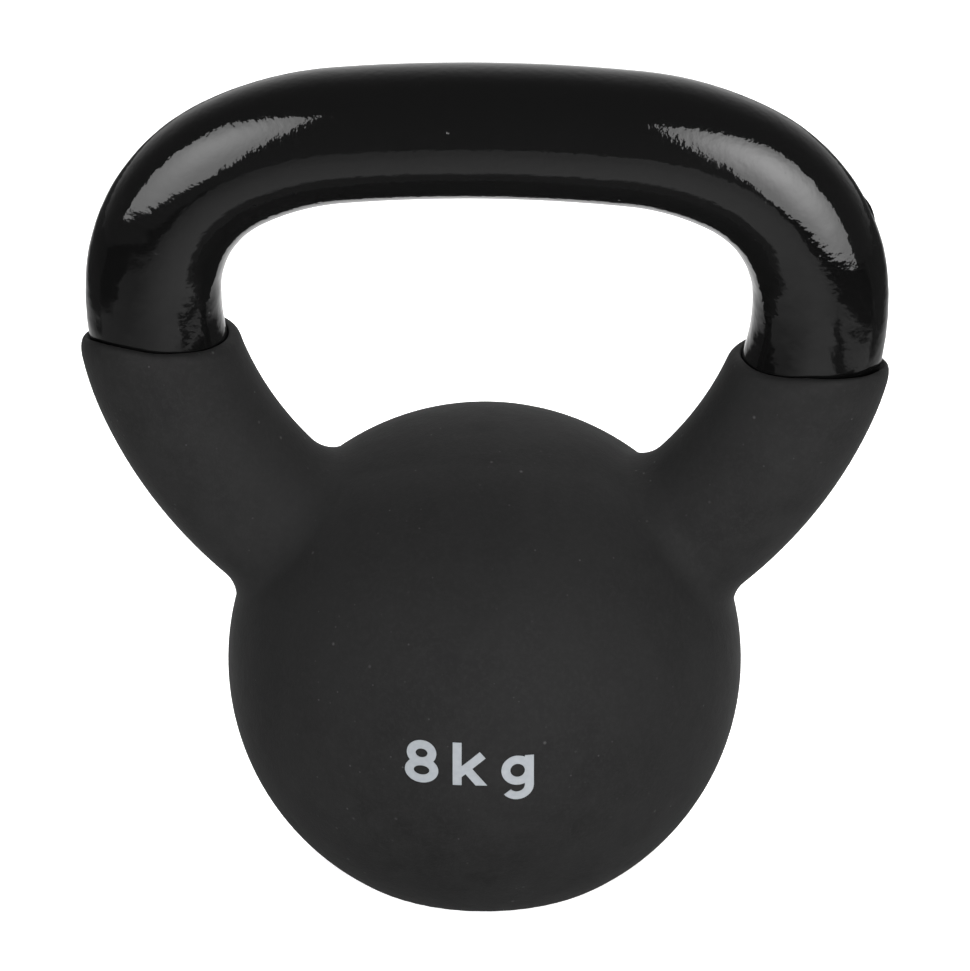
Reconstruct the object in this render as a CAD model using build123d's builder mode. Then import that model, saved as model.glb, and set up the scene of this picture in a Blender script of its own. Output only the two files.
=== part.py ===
from build123d import *
import os

# A coated kettlebell: one iron casting with a ball, two horns and a grip in one, a film of gloss
# enamel on the bare handle, and a neoprene coat over the ball and the lower horns. The coat has
# a flat sole and ends in a rounded rim on each horn. The weight is printed on the front.
# Millimetres, +Z up, X along the grip, the printed front faces -Y. The origin is the middle of
# the flat sole.

# Ball and sole
ball_radius = 60.9  # over the coat
ball_height = 51.9  # centre of the ball above the sole
coat_thickness = 2.9
sole_thickness = 3.0
sole_edge_radius = 9.0
core_radius = ball_radius - coat_thickness
core_edge_radius = sole_edge_radius - coat_thickness

# Handle: its centre line lies in the XZ plane and is the same on both sides. Each bend is a
# radius and a turn in degrees, from the middle of the grip down to the horn.
bar_radius = 15.85
enamel_thickness = 0.25
handle_radius = bar_radius + enamel_thickness
horn_radius = bar_radius + coat_thickness
grip_height = ball_height + 136.4  # centre line at the middle of the grip
handle_shift = 0.55  # the handle stands this far to +X of the middle of the ball
handle_bends = ((371.0, 5.4), (66.2, 22.4), (35.6, 58.6), (60.2, 26.1), (95.3, 35.3))
horn_root_length = 12.0  # straight end of the centre line, inside the ball
horn_fillet = 9.0  # hollow between horn and ball, over the coat
core_horn_fillet = horn_fillet + coat_thickness

# Rims: a nearly level plane trims the coat on each horn. The trimming is by hand, so the two
# differ: each has a height above the ball's centre, and a rise in degrees towards the middle.
left_rim = (85.2, 3.5)
right_rim = (80.8, 5.5)
rim_reach = 78.0  # from the middle to the horn's centre line, at the rims
horn_top_run = 105.0  # run from the middle of the grip to above both rims
enamel_run = 120.0  # run from the middle of the grip to the enamel's end, under both rims
rim_lip_radius = 1.9
rim_chamfer = 0.5

# Printed weight: a figure eight and the letters k and g, drawn with a pen of one width. The
# small letters are lower than the figure, but the k has a stem of its full height.
figure_height = 10.9
letter_height = 7.6
pen_width = 2.1
ink_thickness = 0.12
print_places = (-12.9, -1.8, 9.7)  # middle of each sign, along X
print_rise = 0.5  # the print's middle above the ball's centre

ball_centre = (0, 0, ball_height)
print_baseline = ball_height + print_rise - figure_height / 2


# Centre line of the handle
with BuildLine(Plane.XZ) as half_line:
    end, heading = (handle_shift, grip_height), (1, 0)
    for radius, turn in handle_bends:
        bend = JernArc(start=end, tangent=heading, radius=radius, arc_size=-turn)
        end, heading = bend @ 1, bend % 1
    PolarLine(start=end, length=horn_root_length, direction=heading)

with BuildLine(Plane.XZ) as handle_line:
    add(half_line.line)
    mirror(half_line.line, about=Plane.YZ.offset(handle_shift))

handle_path = handle_line.wires()[0]


def stretch(start, end):
    """The centre line between two runs from the middle of the grip, positive towards +X."""
    return handle_path.trim(0.5 + start / handle_path.length, 0.5 + end / handle_path.length)


def tube(path, radius):
    """Sweep a round bar along a path, into the part being built."""
    with BuildSketch(Plane(origin=path @ 0, z_dir=path % 0)) as section:
        Circle(radius)
    sweep(section.sketch, path=path)


def ball(radius, horn_hollow, floor, edge_radius):
    """Add the ball, round it into the horns, and cut it flat underneath."""
    with Locations(ball_centre):
        Sphere(radius)
    junctions = edges().filter_by(GeomType.BSPLINE)
    fillet(junctions, radius=horn_hollow)
    split(bisect_by=Plane.XY.offset(floor), keep=Keep.TOP)
    fillet(edges().group_by(Axis.Z)[0], radius=edge_radius)


def rim_plane(side, height, rise):
    """Plane that trims the coat on one horn. side is -1 towards -X and 1 towards +X."""
    return Plane(origin=(side * rim_reach, 0, ball_height + height)).rotated((0, side * rise, 0))


# Iron casting: grip, horns and ball in one
with BuildPart() as iron_core:
    tube(handle_path, bar_radius)
    ball(core_radius, core_horn_fillet, sole_thickness, core_edge_radius)

# Gloss film on the bare handle, running a little way under both rims
with BuildPart() as handle_enamel:
    tube(stretch(-enamel_run, enamel_run), handle_radius)
    add(iron_core.part, mode=Mode.SUBTRACT)

# Neoprene coat: a skin over the ball and lower horns, with a thicker flat sole
with BuildPart() as neoprene_coat:
    tube(stretch(-handle_path.length / 2, -horn_top_run), horn_radius)
    tube(stretch(horn_top_run, handle_path.length / 2), horn_radius)
    ball(ball_radius, horn_fillet, 0, sole_edge_radius)
    split(bisect_by=rim_plane(-1, *left_rim), keep=Keep.BOTTOM)
    split(bisect_by=rim_plane(1, *right_rim), keep=Keep.BOTTOM)
    rims = faces().filter_by(GeomType.PLANE).sort_by(Axis.Z)[-2:]
    fillet(rims.edges(), radius=rim_lip_radius)
    add(iron_core.part, mode=Mode.SUBTRACT)
    add(handle_enamel.part, mode=Mode.SUBTRACT)
    rims = faces().filter_by(GeomType.PLANE).sort_by(Axis.Z)[-2:]
    chamfer([rim.inner_wires()[0].edge() for rim in rims], length=rim_chamfer)


def sign_plane(place):
    """Upright plane inside the ball, facing the front, with its origin on a sign's baseline."""
    middle = (place, -ball_radius / 2, print_baseline)
    return Plane(origin=middle, x_dir=(1, 0, 0), z_dir=(0, -1, 0))


def loop(width, height, middle):
    """A closed oval pen stroke of the given outer size, its middle this far above the baseline."""
    with Locations((0, middle)):
        Ellipse(width / 2, height / 2)
        Ellipse(width / 2 - pen_width, height / 2 - pen_width, mode=Mode.SUBTRACT)


def stroke(start, end):
    """A straight pen stroke between two points."""
    with BuildLine() as line:
        Line(start, end)
    trace(line.line, line_width=pen_width)


def ink(sign):
    """Lay a sign as a thin film of ink on the front of the ball."""
    extrude(sign.sketch, amount=ball_radius)
    with Locations(ball_centre):
        Sphere(ball_radius + ink_thickness, mode=Mode.INTERSECT)
        Sphere(ball_radius, mode=Mode.SUBTRACT)


# Figure eight: a small loop on a larger one, the two sharing one stroke at the waist
lower_loop_width = 7.9
upper_loop_width = 7.0
lower_loop_height = 6.6
upper_loop_height = figure_height - lower_loop_height + pen_width

with BuildPart() as print_8:
    with BuildSketch(sign_plane(print_places[0])) as sign:
        loop(lower_loop_width, lower_loop_height, lower_loop_height / 2)
        loop(upper_loop_width, upper_loop_height, figure_height - upper_loop_height / 2)
    ink(sign)

# Letter k: a stem, an arm up from its lower half, and a leg from the middle of the arm that is cut
# level at the baseline
stem_x = -2.7
arm_foot = (stem_x + 0.3, 2.9)
arm_end = (3.3, 7.9)
leg_start = (-0.6, 4.5)
leg_end = (4.2, -1.5)

with BuildPart() as print_k:
    with BuildSketch(sign_plane(print_places[1])) as sign:
        stroke((stem_x, 0), (stem_x, figure_height))
        stroke(arm_foot, arm_end)
        stroke(leg_start, leg_end)
        with Locations((0, figure_height / 2)):
            Rectangle(figure_height, figure_height, mode=Mode.INTERSECT)
    ink(sign)

# Letter g: a round bowl, and a stem beside it that hooks back under
hook_radius = 2.9
hook_turn = 140.0
hook_x = (letter_height - pen_width) / 2

with BuildPart() as print_g:
    with BuildSketch(sign_plane(print_places[2])) as sign:
        loop(letter_height, letter_height, letter_height / 2)
        with BuildLine() as tail:
            stem = Line((hook_x, letter_height), (hook_x, 0))
            JernArc(start=stem @ 1, tangent=stem % 1, radius=hook_radius, arc_size=-hook_turn)
        trace(tail.line, line_width=pen_width)
    ink(sign)

nodes = {
    "iron_core": iron_core,
    "handle_enamel": handle_enamel,
    "neoprene_coat": neoprene_coat,
    "print_8": print_8,
    "print_k": print_k,
    "print_g": print_g,
}
os.makedirs("parts", exist_ok=True)
for name, node in nodes.items():
    node.part.label = name
    export_step(node.part, f"parts/{name}.step")
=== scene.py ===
import math

import bmesh
import bpy
import numpy as np
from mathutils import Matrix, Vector, noise


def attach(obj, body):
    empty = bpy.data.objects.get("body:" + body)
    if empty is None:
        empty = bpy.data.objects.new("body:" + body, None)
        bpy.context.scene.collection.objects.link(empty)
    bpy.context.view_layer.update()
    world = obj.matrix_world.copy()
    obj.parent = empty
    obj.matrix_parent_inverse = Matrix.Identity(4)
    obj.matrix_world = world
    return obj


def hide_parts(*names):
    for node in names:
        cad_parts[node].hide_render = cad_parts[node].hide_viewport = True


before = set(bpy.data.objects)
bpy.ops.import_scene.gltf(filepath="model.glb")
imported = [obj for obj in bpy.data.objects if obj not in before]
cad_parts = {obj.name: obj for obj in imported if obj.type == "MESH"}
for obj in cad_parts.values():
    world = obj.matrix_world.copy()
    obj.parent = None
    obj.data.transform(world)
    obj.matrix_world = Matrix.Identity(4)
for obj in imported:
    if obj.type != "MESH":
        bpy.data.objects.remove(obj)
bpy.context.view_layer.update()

# A coated kettlebell, in metres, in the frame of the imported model: +Z up, X along the grip, the
# printed front faces -Y, and the floor is at Z 0. The enamel and the coat are built here as meshes
# and stand for their CAD nodes. The iron core and the print are the CAD nodes themselves.

# ---------------------------------------------------------------------------------------- sizes

# Ball and sole, over the coat
ball_radius = 0.0609
ball_centre = np.array([0.0, 0.0, 0.0519])
sole_edge_radius = 0.0090
coat_thickness = 0.0029

# Handle: the bends of its centre line, from the middle of the grip down, each a radius and a turn
# in degrees. The other half mirrors it.
bar_radius = 0.01585
handle_radius = 0.0161
horn_radius = bar_radius + coat_thickness
grip_height = ball_centre[2] + 0.1364
handle_shift = 0.00055
handle_bends = ((0.3710, 5.4), (0.0662, 22.4), (0.0356, 58.6), (0.0602, 26.1), (0.0953, 35.3))
straight = 1000.0  # a bend of this radius is as good as straight
horn_fillet = 0.0090  # in the hollow between a horn and the ball

# Rims: a nearly level plane trims the coat on each horn. A height above the ball's centre and a
# rise in degrees towards the middle, for the horn at -X and the one at +X.
rim_reach = 0.0780
rims = {-1: (0.0852, 3.5), 1: (0.0808, 5.5)}

# The hand-trimmed rims sag from those planes in waves: how many go round the horn, how deep they
# are, and where one is lowest, in degrees from the window to the front.
rim_waves = {
    -1: ((0, 0.0020, 0), (1, 0.0022, -60), (2, 0.0008, 30), (5, 0.00012, 20), (9, 0.00005, 8)),
    1: ((0, 0.0017, 0), (1, 0.0018, -50), (2, 0.0006, 16), (5, 0.00014, 50), (11, 0.00005, 3)),
}

# The rim at +X gapes at its outer side: how wide, over how many degrees, and where.
gape_width = 0.0007
gape_half_angle = 62
gape_middle = 150

enamel_run = 0.1235  # from the middle of the grip to the enamel's ends, under the rims
wall_gap = 0.00005  # the coat's inner wall and the enamel stay this far off the iron
enamel_wall = handle_radius + 3 * wall_gap  # and the coat's wall this far out over the enamel
wall_step = (0.0005, 0.0020)  # past the enamel's ends, that wall steps in to the iron here

front = np.array([0.0, -1.0, 0.0])

# ------------------------------------------------------------------------------ handle geometry


def lay_out_bends():
    """Run, x, z, heading and radius at the start of each bend of the +X half, then a straight."""
    run, x, z, heading = 0.0, 0.0, grip_height, 0.0
    rows = []
    for radius, turn in handle_bends:
        rows.append((run, x, z, heading, radius))
        after = heading + math.radians(turn)
        x += radius * (math.sin(after) - math.sin(heading))
        z += radius * (math.cos(after) - math.cos(heading))
        run += radius * (after - heading)
        heading = after
    rows.append((run, x, z, heading, straight))
    return np.array(rows)


bend_starts = lay_out_bends()


def handle_frame(run):
    """Centre of the handle and its side facing the window, at runs from the middle of the grip."""
    side = np.where(run < 0, -1.0, 1.0)
    leg = np.searchsorted(bend_starts[:, 0], abs(run), side="right") - 1
    start, x, z, heading, radius = np.moveaxis(bend_starts[leg], -1, 0)
    angle = heading + (abs(run) - start) / radius
    level = np.zeros_like(angle)
    reach = x + radius * (np.sin(angle) - np.sin(heading))
    height = z + radius * (np.cos(angle) - np.cos(heading))
    centre = np.stack([handle_shift + side * reach, level, height], axis=-1)
    inward = np.stack([-side * np.sin(angle), level, -np.cos(angle)], axis=-1)
    return centre, inward


def outward(run, turn):
    """Centre of the handle, and the direction square to it, turned from the window to the front."""
    centre, inward = handle_frame(run)
    return centre, np.cos(turn)[..., None] * inward + np.sin(turn)[..., None] * front


def on_handle(run, turn, radius):
    """Points round the handle's centre line."""
    centre, out = outward(run, turn)
    return centre + np.asarray(radius)[..., None] * out


def solve(falling, low, high):
    """Where a function of one run that falls from positive to negative is zero, by bisection."""
    for _ in range(40):
        middle = (low + high) / 2
        above = falling(middle) > 0
        low = np.where(above, middle, low)
        high = np.where(above, high, middle)
    return (low + high) / 2


def lengths(vectors):
    return np.linalg.norm(vectors, axis=-1, keepdims=True)


def unit(vectors):
    return vectors / lengths(vectors)


def turn_between(first, last, shares):
    """Unit directions at shares of the way from first to last, along the great circle."""
    angle = np.arccos(np.clip(np.sum(first * last, axis=-1, keepdims=True), -1, 1))
    shares = shares[:, None, None]
    return (np.sin((1 - shares) * angle) * first + np.sin(shares * angle) * last) / np.sin(angle)


# -------------------------------------------------------------------------------- coat geometry

rim_search = (0.085, 0.130)  # runs between which the rims lie
root_search = (0.090, 0.215)  # and the horns' roots, where their hollows start


def rim_run(side, turn, radius):
    """Signed run at which the rim's plane cuts a line along the horn."""
    height, rise = rims[side]
    angle = math.radians(side * rise)
    normal = np.array([math.sin(angle), 0.0, math.cos(angle)])
    middle = np.array([side * rim_reach, 0.0, ball_centre[2] + height])

    def above(run):
        return (on_handle(side * run, turn, radius) - middle) @ normal

    low, high = (np.full_like(turn + radius, limit) for limit in rim_search)
    return solve(above, low, high)


def ball_surface(directions, depth):
    """Points of the flat-soled ball, this deep under its surface, along unit directions."""
    radius = ball_radius - depth
    floor = ball_centre[2] - depth
    edge = sole_edge_radius - depth
    across = np.hypot(directions[..., 0], directions[..., 1])
    down = -directions[..., 2]
    edge_across = math.sqrt((radius - edge) ** 2 - (floor - edge) ** 2)
    edge_down = floor - edge
    along = across * edge_across + down * edge_down
    rounded = along + np.sqrt(np.maximum(along**2 - edge_across**2 - edge_down**2 + edge**2, 0))
    level = floor / np.maximum(down, 1e-6)
    on_sole = (down > 0) & (across * floor < edge_across * down)
    on_edge = (down > 0) & ~on_sole & (across * edge_down < edge_across * down)
    reach = np.where(on_sole, level, np.where(on_edge, rounded, radius))
    return ball_centre + reach[..., None] * directions


def horn_to_ball(side, turn, start_run, depth, counts):
    """Rows of points down a horn from start_run, round its hollow and over half the ball."""
    horn_rows, hollow_rows, ball_rows = counts
    hollow = horn_fillet + depth
    spine_radius = np.full_like(turn, horn_radius + horn_fillet)

    def clear_of_ball(run):
        reach = on_handle(side * run, turn, spine_radius) - ball_centre
        return lengths(reach)[..., 0] - ball_radius - horn_fillet

    low, high = (np.full_like(turn, limit) for limit in root_search)
    root_run = solve(clear_of_ball, low, high)
    spine = on_handle(side * root_run, turn, spine_radius)

    shares = np.linspace(0, 1, horn_rows)[:, None]
    runs = start_run + shares * (root_run - start_run)
    radii = np.full_like(runs, horn_radius - depth)
    if depth > 0:
        step_start, step_end = wall_step
        share = np.clip((enamel_run + step_end - runs) / (step_end - step_start), 0, 1)
        radii += (enamel_wall - radii) * share
    horn = on_handle(side * runs, turn, radii)

    inwards = -outward(side * root_run, turn)[1]
    to_ball = unit(ball_centre - spine)
    hollow_shares = np.linspace(0, 1, hollow_rows + 1)[1:]
    hollow_points = spine + hollow * turn_between(inwards, to_ball, hollow_shares)

    meeting = np.stack([0 * turn, -np.sin(turn), np.cos(turn)], axis=-1)
    ball_shares = np.linspace(0, 1, ball_rows + 1)[1:]
    ball = ball_surface(turn_between(-to_ball, meeting, ball_shares), depth)
    return np.concatenate([horn, hollow_points, ball])


# Lip of a rim: a tight round into the crevice at the enamel, and a long one out and down to the
# horn's wall.
lip_inner_round = 0.0005
lip_drop = 0.0040
lip_squareness = 0.9  # 1 for a quarter of an ellipse, and less for a squarer shoulder
crevice_depth = 0.0008
crevice_width = 0.00006


def bow(start, corner, end, shares):
    """Points on a curve that leaves start and reaches end along the two sides of a corner."""
    shares = shares[:, None]
    return (1 - shares) ** 2 * start + 2 * shares * (1 - shares) * corner + shares**2 * end


def lip_profile(gape):
    """Distances from the centre line, and drops below the rim, from the crevice out to the wall."""
    wall = np.full_like(gape, enamel_wall)
    inner = wall + crevice_width + gape
    ridge = inner + lip_inner_round
    depth, edge, top = (np.full_like(gape, drop) for drop in (crevice_depth, lip_inner_round, 0.0))
    coarse, fine = np.linspace(0, 1, 7), np.linspace(0, 1, 5)[1:]
    sweep = np.linspace(0, math.pi / 2, 15)[1:, None]
    radii = [
        bow(wall, inner, inner, coarse),
        bow(inner, inner, ridge, fine),
        ridge + (horn_radius - ridge) * np.sin(sweep) ** lip_squareness,
    ]
    drops = [
        bow(depth, depth / 2, edge, coarse),
        bow(edge, top, top, fine),
        top + lip_drop * (1 - np.maximum(np.cos(sweep), 0) ** lip_squareness),
    ]
    return np.concatenate(radii), np.concatenate(drops)


def rim_sag(side, turn):
    """How far the trimmed rim sags below its plane, round the horn."""
    sag = np.zeros_like(turn)
    for count, depth, lowest in rim_waves[side]:
        sag += depth * np.cos(count * (turn - math.radians(lowest)))
    return sag


def lip(side, turn):
    """Rows of points over a rim's lip, from the crevice at the enamel to the horn's wall."""
    gape = np.zeros_like(turn)
    if side > 0:
        off_middle = np.abs(np.degrees(turn) - gape_middle) / gape_half_angle
        gape = gape_width * np.clip(1 - off_middle**2, 0, 1)
    radii, drops = lip_profile(gape)
    runs = np.stack([rim_run(side, turn, row) for row in radii]) + drops + rim_sag(side, turn)
    return on_handle(side * runs, turn, radii), runs[-1], runs[0]


# Points round the coat, and rows down each horn, round its hollow and over half the ball
coat_columns = 192
outer_rows = (30, 14, 84)
inner_rows = (16, 6, 30)
inner_start = 0.001  # the inner wall starts this far below the bottom of the crevice


def coat_points():
    """Rows round the whole coat: out over both rims and the ball, and back along the inner wall."""
    turns = np.linspace(0, 2 * math.pi, coat_columns, endpoint=False)
    depth = coat_thickness - wall_gap
    outer, inner = {}, {}
    for side in (-1, 1):
        lip_rows, wall_run, crevice_run = lip(side, turns)
        rows = horn_to_ball(side, turns, wall_run, 0.0, outer_rows)
        outer[side] = np.concatenate([lip_rows, rows[1:]])
        inner[side] = horn_to_ball(side, turns, crevice_run + inner_start, depth, inner_rows)
    return np.concatenate([
        outer[-1],
        outer[1][-2::-1],
        inner[1],
        inner[-1][-2::-1],
    ])


# ------------------------------------------------------------------------------ enamel geometry

# The casting under the enamel is a little wavy, more so on the legs than on the grip: the size of
# the waves, and how high they stand on the legs.
cast_waves = ((0.0110, 0.00007), (0.0045, 0.00008), (0.0022, 0.00002))
calm_grip = 0.15  # share of those heights on the grip
grip_end, leg_start = 0.050, 0.088  # runs between which they grow

# A burr on the outside of the bend at +X
burr_height = 0.0005
burr_run, burr_turn = 0.0848, math.radians(190)
burr_length, burr_width = 0.0040, 0.0026

# Rows along the enamel's outer face and along the iron, and points round it
film_rows, film_inner_rows, film_columns = 400, 60, 160


def unevenness(points, runs, turns):
    """How far the enamel stands out from its even radius."""
    share = np.clip((np.abs(runs) - grip_end) / (leg_start - grip_end), 0, 1)
    height = np.zeros(points.shape[:2])
    for size, depth in cast_waves:
        waves = [[noise.noise(Vector(point) / size) for point in row] for row in points.tolist()]
        height += depth * np.array(waves)
    height *= calm_grip + (1 - calm_grip) * share
    along = np.clip(1 - np.abs(runs - burr_run) / (burr_length / 2), 0, 1)
    across = np.clip(1 - np.abs(turns - burr_turn) * handle_radius / (burr_width / 2), 0, 1)
    return height + burr_height * np.sqrt(along * across)


def enamel_points():
    """Rows round the enamel film: along its outer face, and back along the iron."""
    turns = np.linspace(0, 2 * math.pi, film_columns, endpoint=False)
    runs = np.linspace(-enamel_run, enamel_run, film_rows)[:, None]
    even = on_handle(runs, turns, np.full((film_rows, film_columns), handle_radius))
    outer = on_handle(runs, turns, handle_radius + unevenness(even, runs, turns))
    back = np.linspace(enamel_run, -enamel_run, film_inner_rows)[:, None]
    inner = on_handle(back, turns, np.full((film_inner_rows, film_columns), bar_radius + wall_gap))
    return np.concatenate([outer, inner])


# --------------------------------------------------------------------------------------- meshes


def ring_mesh(name, points):
    """A closed mesh from rows of points, where the rows close round and so does each row."""
    rows, columns = points.shape[:2]
    mesh = bpy.data.meshes.new(name)
    corners = np.arange(rows * columns).reshape(rows, columns)
    ahead = np.roll(corners, -1, axis=0)
    faces = np.stack([corners, ahead, np.roll(ahead, -1, axis=1), np.roll(corners, -1, axis=1)], -1)
    mesh.from_pydata(points.reshape(-1, 3).tolist(), [], faces.reshape(-1, 4).tolist())
    work = bmesh.new()
    work.from_mesh(mesh)
    bmesh.ops.recalc_face_normals(work, faces=work.faces)
    work.to_mesh(mesh)
    work.free()
    mesh.polygons.foreach_set("use_smooth", np.ones(len(mesh.polygons), bool))
    piece = bpy.data.objects.new(name, mesh)
    bpy.context.scene.collection.objects.link(piece)
    return piece


# ------------------------------------------------------------------------------------ materials


class Shader:
    """A material with a Principled shader, and short calls to add nodes to it."""

    def __init__(self, name):
        self.material = bpy.data.materials.new(name)
        self.material.use_nodes = True
        self.nodes = self.material.node_tree.nodes
        self.surface = self.nodes["Principled BSDF"]
        self.place = self.add("ShaderNodeTexCoord").outputs["Object"]

    def add(self, kind, inputs=(), **settings):
        """A node of this kind, with its settings, and its inputs linked or set by name."""
        node = self.nodes.new(kind)
        for name, value in settings.items():
            setattr(node, name, value)
        for name, value in dict(inputs).items():
            self.put(node.inputs[name], value)
        return node

    def put(self, socket, value):
        if isinstance(value, bpy.types.NodeSocket):
            self.material.node_tree.links.new(value, socket)
        else:
            socket.default_value = value

    def finish(self, **values):
        for name, value in values.items():
            self.put(self.surface.inputs[name.replace("_", " ")], value)
        return self.material

    def grain(self, size, detail=2.0, roughness=0.5):
        """Noise from 0 to 1, with features of this size in metres."""
        inputs = {"Vector": self.place, "Scale": 1 / size, "Detail": detail, "Roughness": roughness}
        return self.add("ShaderNodeTexNoise", inputs).outputs["Fac"]

    def dots(self, apart, radius):
        """1 in the middle of scattered dots, falling to 0 at their radius, in metres."""
        inputs = {"Vector": self.place, "Scale": 1 / apart}
        away = self.add("ShaderNodeTexVoronoi", inputs).outputs["Distance"]
        return self.spread(away, 0.0, radius / apart, 1.0, 0.0)

    def work(self, operation, first, second=0.0):
        """The result of a sum on two values."""
        return self.add("ShaderNodeMath", {0: first, 1: second}, operation=operation).outputs[0]

    def spread(self, value, low, high, low_out=0.0, high_out=1.0):
        """A value mapped from one range to another, and held inside it."""
        inputs = {
            "Value": value,
            "From Min": low,
            "From Max": high,
            "To Min": low_out,
            "To Max": high_out,
        }
        return self.add("ShaderNodeMapRange", inputs).outputs["Result"]

    def blend(self, share, first, last):
        """The first colour or height where the share is 0, and the last where it is 1."""
        node = self.add("ShaderNodeMix", {0: share, 6: first, 7: last}, data_type="RGBA")
        return node.outputs[2]

    def raised(self, height, distance, strength=1.0, below=None):
        """A normal from a height between 0 and 1, where 1 stands this far out in metres."""
        inputs = {"Height": height, "Distance": distance, "Strength": strength}
        if below is not None:
            inputs["Normal"] = below
        return self.add("ShaderNodeBump", inputs).outputs["Normal"]


def grey(level):
    return (level, level, level, 1.0)


def neoprene_material():
    shader = Shader("neoprene")
    mottle = shader.blend(0.5, shader.grain(0.030, detail=3.0), shader.grain(0.006, detail=3.0))
    colour = shader.blend(shader.spread(mottle, 0.38, 0.62), grey(0.0098), grey(0.0130))
    bloom = shader.spread(shader.grain(0.0012, detail=4.0, roughness=0.7), 0.45, 0.85)
    colour = shader.blend(bloom, colour, grey(0.0165))
    for apart, radius in ((0.0055, 0.00050), (0.0036, 0.00030)):
        patches = shader.spread(shader.grain(4 * apart), 0.47, 0.60)
        dust = shader.work("MULTIPLY", shader.dots(apart, radius), patches)
        colour = shader.blend(dust, colour, grey(0.070))
    normal = shader.raised(shader.grain(0.0050, detail=2.0), 0.00012)
    normal = shader.raised(shader.grain(0.0006, detail=3.0), 0.00006, below=normal)
    return shader.finish(
        Base_Color=colour,
        Roughness=shader.spread(mottle, 0.35, 0.65, 0.66, 0.76),
        Specular_IOR_Level=0.15,
        Sheen_Weight=0.022,
        Sheen_Roughness=0.4,
        Normal=normal,
    )


def enamel_material():
    shader = Shader("enamel")
    peel = shader.raised(shader.grain(0.0016, detail=2.0), 0.00006)
    pits = shader.raised(shader.dots(0.0070, 0.00035), -0.00014, below=peel)
    haze = shader.spread(shader.grain(0.0080, detail=3.0), 0.45, 0.75, 0.04, 0.09)
    return shader.finish(Base_Color=grey(0.0030), Roughness=haze, IOR=1.68, Normal=pits)


def ink_material():
    shader = Shader("ink")
    blotch = shader.grain(0.0012, detail=3.0)
    colour = shader.blend(blotch, (0.24, 0.26, 0.28, 1), (0.32, 0.34, 0.36, 1))
    return shader.finish(Base_Color=colour, Roughness=0.55)


def iron_material():
    shader = Shader("cast_iron")
    skin = shader.grain(0.0015, detail=5.0)
    colour = shader.blend(skin, grey(0.06), grey(0.14))
    return shader.finish(
        Base_Color=colour, Metallic=0.85, Roughness=0.6, Normal=shader.raised(skin, 0.0002)
    )


# --------------------------------------------------------------------------------------- pieces

neoprene, enamel = neoprene_material(), enamel_material()

coat = ring_mesh("coat", coat_points())
coat.data.materials.append(neoprene)
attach(coat, "root")
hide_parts("neoprene_coat")

film = ring_mesh("enamel_film", enamel_points())
film.data.materials.append(enamel)
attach(film, "root")
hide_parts("handle_enamel")

ink = ink_material()
kept_nodes = {"iron_core": iron_material(), "print_8": ink, "print_k": ink, "print_g": ink}
for name, material in kept_nodes.items():
    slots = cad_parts[name].data.materials
    slots.clear()
    slots.append(material)

# ---------------------------------------------------------------------------------------- stage

floor_reach = 30.0
floor_glow = 0.66  # that lights the object
floor_glow_seen = 0.92  # and that the camera sees, so that the floor shows no shadow


def level_sheet(name, low, high, height):
    """A flat rectangle on the stage, given by its lowest and highest x and y."""
    mesh = bpy.data.meshes.new(name)
    corners = [(low[0], low[1]), (high[0], low[1]), (high[0], high[1]), (low[0], high[1])]
    mesh.from_pydata([(x, y, height) for x, y in corners], [], [(0, 1, 2, 3)])
    sheet = bpy.data.objects.new(name, mesh)
    bpy.context.scene.collection.objects.link(sheet)
    return sheet


# The table that shows in the enamel: a glowing sheet, a painted reflection of a lit table. In front
# of the ball it glows, most in a stripe a little to the +X side, and it dims away from that stripe
# and away from the ball. It is nearly dark past its reaches to the two sides, and dark in painted
# shadow: a ring round the ball and a streak beside it. Behind the ball the light wall shows
# instead, also as painted glow. Each four numbers are two places, along X or Y in metres or in
# sizes of the shadow ring, and the values at the two.
table_corners = ((-1.5, -1.15), (1.5, 3.0))
table_height = -0.0002  # just under the floor
stripe_middle = 0.10
stripe_glow = (0.05, 0.40, 0.40, 0.15)
far_to_near = (-0.60, -0.15, 0.72, 1.06)
left_reach_far = (-0.62, -0.48, 0.25, 0.62)
left_reach_near = (-0.45, -0.15, 0.62, 0.42)
right_reach = (-0.60, -0.35, 0.21, 0.365)
nearly_dark = 0.12
reach_edge = (-0.02, 0.02, 1, nearly_dark)
# Painted shadow: the dark ring round the ball, its sizes along X and Y, and its edge
shadow_ring_size = (0.19, 0.145)
shadow_ring_edge = (0.90, 1.15, 0.2, 1)
# Painted shadow: the dark streak beside the ball, its middle along X, its edge and where it ends
# along Y
shadow_streak_middle = 0.24
shadow_streak_edge = (0.025, 0.045, nearly_dark, 1)
shadow_streak_end = (-0.36, -0.26, 1, 0)
wall_middle = -0.02
wall_glow = (0.05, 0.34, 1.1, 0.05)
wall_start = (0.03, 0.06)  # two places only, where the table ends and the wall starts


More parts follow.
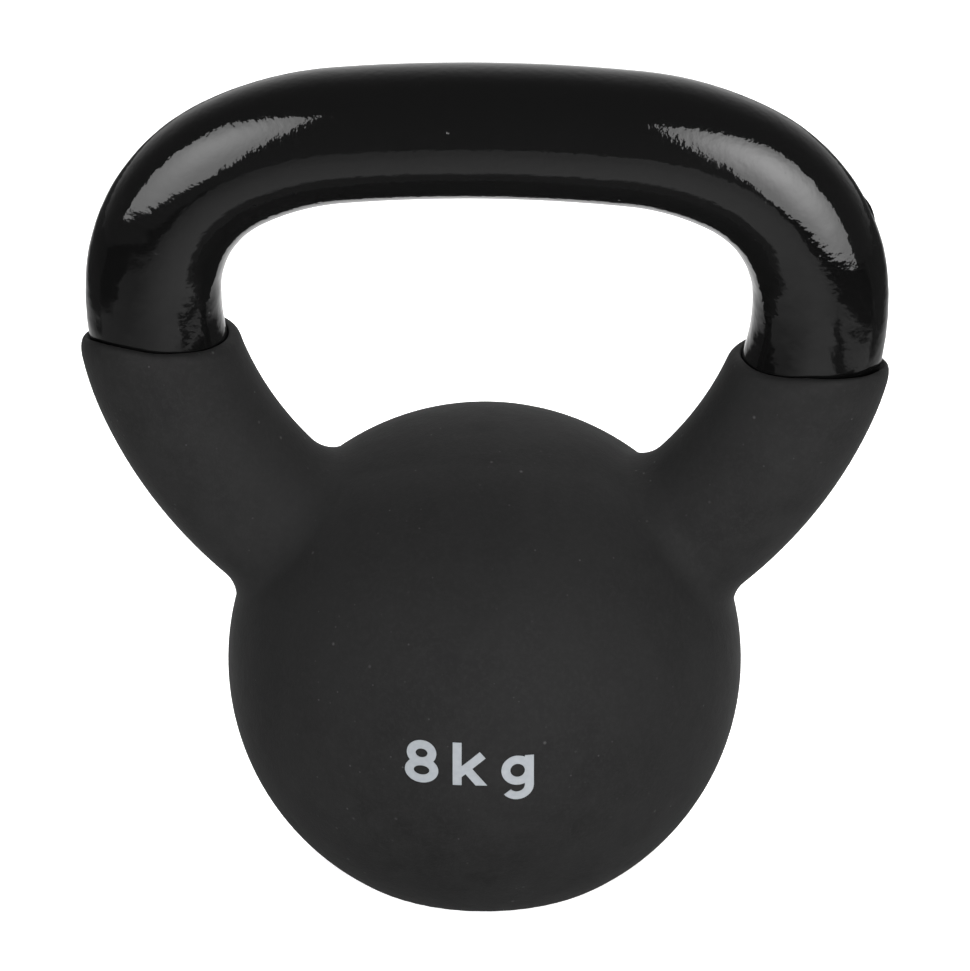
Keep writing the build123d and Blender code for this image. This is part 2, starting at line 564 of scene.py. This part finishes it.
def table_in_gloss():
    """A glowing sheet just under the floor that shows only in reflections, with painted shadow
    round and beside the ball.
    """
    table = level_sheet("table_in_gloss", *table_corners, table_height)
    shader = Shader("table_in_gloss")
    work, spread = shader.work, shader.spread
    split = shader.add("ShaderNodeSeparateXYZ", {0: shader.place})
    x, y = split.outputs["X"], split.outputs["Y"]

    def off(value, middle):
        return work("ABSOLUTE", work("SUBTRACT", value, middle))

    def up_to(value, reach):
        return spread(work("SUBTRACT", value, reach), *reach_edge)

    left_reach = work("MINIMUM", spread(y, *left_reach_far), spread(y, *left_reach_near))
    # The painted shadow ring round the ball
    shadow_rings = [
        work("POWER", work("DIVIDE", off(part, 0.0), size), 2)
        for part, size in zip((x, y), shadow_ring_size)
    ]
    shares = (
        up_to(work("MULTIPLY", x, -1), left_reach),
        up_to(x, spread(y, *right_reach)),
        # painted shadow: dark in a streak beside the ball
        work("MAXIMUM", spread(off(x, shadow_streak_middle), *shadow_streak_edge), spread(y, *shadow_streak_end)),
        spread(y, *far_to_near),
        # painted shadow: dark in a ring round the ball
        spread(work("ADD", *shadow_rings), *shadow_ring_edge),
        spread(y, *wall_start, 1, 0),
    )
    glow = spread(off(x, stripe_middle), *stripe_glow)
    for share in shares:
        glow = work("MULTIPLY", glow, share)
    wall = work("MULTIPLY", spread(off(x, wall_middle), *wall_glow), spread(y, *wall_start))
    shader.finish(
        Base_Color=grey(0.0),
        Specular_IOR_Level=0.0,
        Emission_Color=grey(1.0),
        Emission_Strength=work("ADD", glow, wall),
    )
    table.data.materials.append(shader.material)
    table.visible_camera = table.visible_diffuse = False


def floor():
    """A pale floor that glows a little, and that the gloss doesn't show."""
    wide = level_sheet("floor", [-floor_reach] * 2, [floor_reach] * 2, 0.0)
    shader = Shader("floor")
    seen = shader.add("ShaderNodeLightPath").outputs["Is Camera Ray"]
    shader.finish(
        Base_Color=grey(0.85),
        Roughness=1.0,
        Emission_Color=grey(1.0),
        Emission_Strength=shader.spread(seen, 0.0, 1.0, floor_glow, floor_glow_seen),
    )
    wide.data.materials.append(shader.material)
    wide.visible_glossy = False


def panel(name, place, facing, width, height, middle, edge):
    """A rectangular light that faces back along a direction, brighter in the middle."""
    light = bpy.data.lights.new(name, "AREA")
    light.shape = "RECTANGLE"
    light.size, light.size_y = width, height
    light.energy = math.pi * width * height
    light.use_nodes = True
    nodes, links = light.node_tree.nodes, light.node_tree.links
    across = nodes.new("ShaderNodeVectorMath")
    across.operation = "DISTANCE"
    links.new(nodes.new("ShaderNodeNewGeometry").outputs["Parametric"], across.inputs[0])
    across.inputs[1].default_value = (0.5, 0.5, 0)
    fall = nodes.new("ShaderNodeMapRange")
    fall.interpolation_type = "SMOOTHSTEP"
    links.new(across.outputs["Value"], fall.inputs["Value"])
    fall.inputs["From Max"].default_value = 0.6
    fall.inputs["To Min"].default_value, fall.inputs["To Max"].default_value = middle, edge
    links.new(fall.outputs[0], nodes["Emission"].inputs["Strength"])
    lamp = bpy.data.objects.new(name, light)
    bpy.context.scene.collection.objects.link(lamp)
    lamp.location = place
    lamp.rotation_mode = "QUATERNION"
    lamp.rotation_quaternion = Vector(facing).to_track_quat("Z", "Y")
    lamp.visible_camera = False
    return lamp


def softbox(name, azimuth, distance, width, bottom, top, middle, edge):
    """An upright panel that faces the handle. Azimuth 0 is in front, and 90 at +X."""
    angle = math.radians(azimuth)
    towards = Vector((math.sin(angle), -math.cos(angle), 0))
    place = distance * towards + Vector((0, 0, (bottom + top) / 2))
    return panel(name, place, towards, width, top - bottom, middle, edge)


camera_azimuth, camera_elevation = 1.84, 24.4  # degrees, from the front towards +X and up
camera_distance = 5.0
camera_lens = 780.6
aim_above_ball, aim_beside_ball = 0.04088, 0.0001  # as the camera sees them


def camera():
    """A long lens, 5 m away and a little to the right, looking down on the front."""
    azimuth, elevation = math.radians(camera_azimuth), math.radians(camera_elevation)
    level = math.cos(elevation)
    back = Vector((math.sin(azimuth) * level, -math.cos(azimuth) * level, math.sin(elevation)))
    right = Vector((math.cos(azimuth), math.sin(azimuth), 0))
    data = bpy.data.cameras.new("camera")
    data.lens = camera_lens
    data.clip_end = 100
    view = bpy.data.objects.new("camera", data)
    bpy.context.scene.collection.objects.link(view)
    up = back.cross(right)
    aim = Vector(ball_centre) + aim_above_ball * up + aim_beside_ball * right
    view.location = aim + camera_distance * back
    view.rotation_mode = "QUATERNION"
    view.rotation_quaternion = back.to_track_quat("Z", "Y")
    bpy.context.scene.camera = view


light_behind = 0.66
light_fading = 4.5  # the power of the share that points behind
room_light = 0.07
sky_seen = 0.95


def sky():
    """Light from behind that fades upwards and round to the front, and a pale sky to look at."""
    world = bpy.data.worlds.new("studio")
    bpy.context.scene.world = world
    world.use_nodes = True
    nodes, links = world.node_tree.nodes, world.node_tree.links

    def work(operation, first, second):
        node = nodes.new("ShaderNodeMath")
        node.operation = operation
        links.new(first, node.inputs[0])
        node.inputs[1].default_value = second
        return node.outputs[0]

    split = nodes.new("ShaderNodeSeparateXYZ")
    links.new(nodes.new("ShaderNodeTexCoord").outputs["Generated"], split.inputs[0])
    behind = work("POWER", work("MAXIMUM", split.outputs["Y"], 0.0), light_fading)
    light = work("ADD", work("MULTIPLY", behind, light_behind), room_light)
    strength = nodes.new("ShaderNodeMix")
    links.new(nodes.new("ShaderNodeLightPath").outputs["Is Camera Ray"], strength.inputs[0])
    links.new(light, strength.inputs[2])
    strength.inputs[3].default_value = sky_seen
    links.new(strength.outputs[0], nodes["Background"].inputs["Strength"])
    nodes["Background"].inputs["Color"].default_value = (1, 1, 1, 1)


floor()
table_in_gloss()
sky()
boxes_in_gloss = (
    softbox("left_box", -53, 1.2, width=1.45, bottom=0.31, top=2.10, middle=3.3, edge=1.9),
    softbox("right_box", 45, 1.2, width=1.40, bottom=0.02, top=1.72, middle=4.6, edge=1.9),
)
for box in boxes_in_gloss:
    box.visible_diffuse = False
fills = (
    panel("front_fill", (0.58, -2.0, 0.5), (0.23, -1.0, 0.1), 1.5, 1.0, 9.9, 9.9),
    panel("back_fill", (0.0, 2.0, 2.1), (0.0, 1.0, 0.95), 1.8, 2.4, 8.7, 8.7),
)
for fill in fills:
    fill.visible_glossy = False
camera()
bpy.context.scene.view_settings.view_transform = "Standard"
